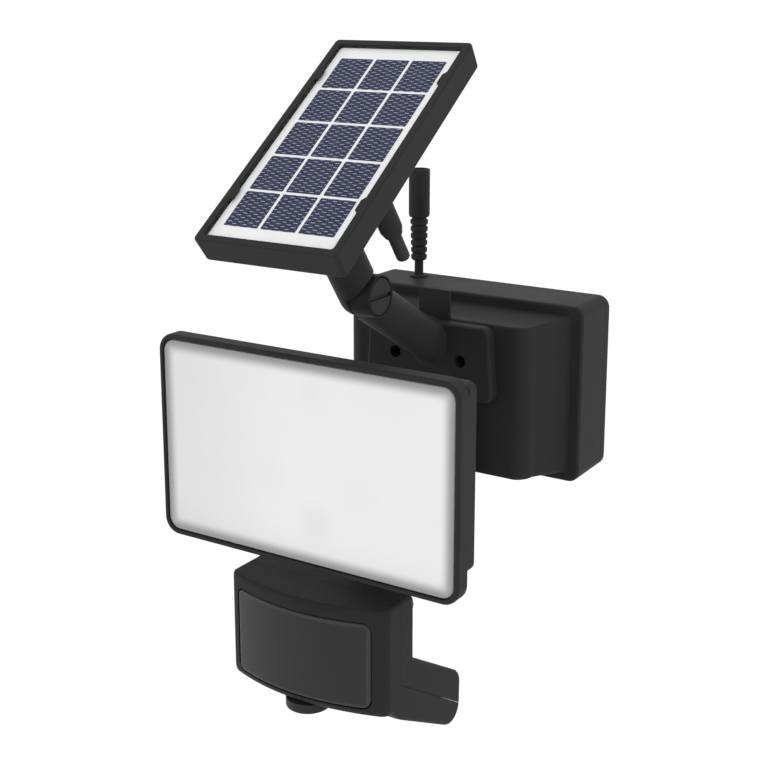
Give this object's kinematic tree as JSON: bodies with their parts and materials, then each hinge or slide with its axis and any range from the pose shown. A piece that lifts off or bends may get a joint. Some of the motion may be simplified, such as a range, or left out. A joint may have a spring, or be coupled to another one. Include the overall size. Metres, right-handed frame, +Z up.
{
  "type": "solar flood light",
  "caption": "Wall-mounted solar flood light with a battery box, a tilting solar panel, a tilting lamp head and a jointed motion sensor.",
  "frame": {"origin": "centre of the wall face of the battery box", "axes": "+Z up the wall, +Y into the wall, so the lamp faces -Y; +X is to the right of someone facing the lamp"},
  "size_m": [0.14, 0.1776, 0.2829],
  "materials": {
    "shell_black": "fine satin moulded texture",
    "lens_frosted": "frosted",
    "window_dark": "polished",
    "seal_rubber": "matt",
    "lead_black": "satin",
    "cell_wrap": "shrink wrap",
    "holder_black": "matt",
    "board_green": "solder mask",
    "parts_dark": "matt",
    "contact_metal": "nickel plated",
    "screw_metal": "zinc plated",
    "bolt_black": "satin",
    "cell_blue": "antireflective",
    "sheet_white": "satin",
    "cover_clear": "clear",
    "reflector_white": "satin",
    "led_board_white": "white solder mask on an aluminium core",
    "led_phosphor": "satin",
    "plug_dark": "satin"
  },
  "bodies": {
    "box": {"box_back": "shell_black", "box_gasket": "seal_rubber", "box_front": "shell_black", "battery_holder": "holder_black", "battery_cells": "cell_wrap", "battery_contacts": "contact_metal", "charge_board": "board_green", "board_parts": "parts_dark", "box_screws": "screw_metal", "lead_grommet": "lead_black", "lead_cable": "lead_black", "lead_relief": "lead_black", "lead_socket": "lead_black", "socket_contacts": "contact_metal", "panel_bracket": "shell_black", "lamp_bracket": "shell_black", "bracket_screws": "screw_metal", "panel_pivot_bolt": "bolt_black", "panel_pivot_nut": "screw_metal"},
    "neck": {"panel_neck": "shell_black", "neck_clip": "screw_metal"},
    "panel": {"panel_frame": "shell_black", "solar_sheet": "sheet_white", "solar_cells": "cell_blue", "cell_ribbons": "contact_metal", "panel_glass": "cover_clear", "terminal_board": "board_green", "plug_body": "shell_black", "plug_barrel": "plug_dark"},
    "swivel": {"head_swivel": "shell_black", "head_pivot_bolt": "bolt_black", "head_pivot_nut": "screw_metal"},
    "head": {"head_bezel": "shell_black", "head_lens": "lens_frosted", "head_gasket": "seal_rubber", "reflector": "reflector_white", "led_board": "led_board_white", "led_chips": "led_phosphor", "head_rear": "shell_black", "head_screws": "screw_metal"},
    "stem": {"sensor_stem": "shell_black", "sensor_pivot_bolt": "bolt_black", "sensor_pivot_nut": "screw_metal"},
    "sensor": {"sensor_front": "shell_black", "sensor_window": "window_dark", "sensor_rear": "shell_black", "sensor_board": "board_green", "pir_detector": "contact_metal", "sensor_screws": "screw_metal"},
    "dial": {"sensor_dial": "plug_dark"}
  },
  "joints": [
    {"name": "panel_tilt", "type": "hinge", "parent": "box", "child": "neck", "pos_m": [0, -0.1137, 0.0552], "axis": [1, 0, 0], "range_deg": [-36, 30]},
    {"name": "panel_swivel", "type": "hinge", "parent": "neck", "child": "panel", "pos_m": [0, -0.1137, 0.0552], "axis": [0, -0.5878, 0.809], "range_deg": [-90, 90]},
    {"name": "head_pan", "type": "hinge", "parent": "box", "child": "swivel", "pos_m": [0, -0.104, -0.009], "axis": [0, 0, 1], "range_deg": [-45, 45]},
    {"name": "head_tilt", "type": "hinge", "parent": "swivel", "child": "head", "pos_m": [0, -0.128, -0.004], "axis": [1, 0, 0], "range_deg": [-40, 35]},
    {"name": "sensor_pan", "type": "hinge", "parent": "box", "child": "stem", "pos_m": [0, -0.104, -0.031], "axis": [0, 0, 1], "range_deg": [-45, 45]},
    {"name": "sensor_tilt", "type": "hinge", "parent": "stem", "child": "sensor", "pos_m": [0, -0.116, -0.069], "axis": [1, 0, 0], "range_deg": [0, 30]},
    {"name": "dial_turn", "type": "hinge", "parent": "sensor", "child": "dial", "pos_m": [0, -0.1526, -0.105], "axis": [0, 0, 1], "range_deg": [-135, 135]}
  ]
}
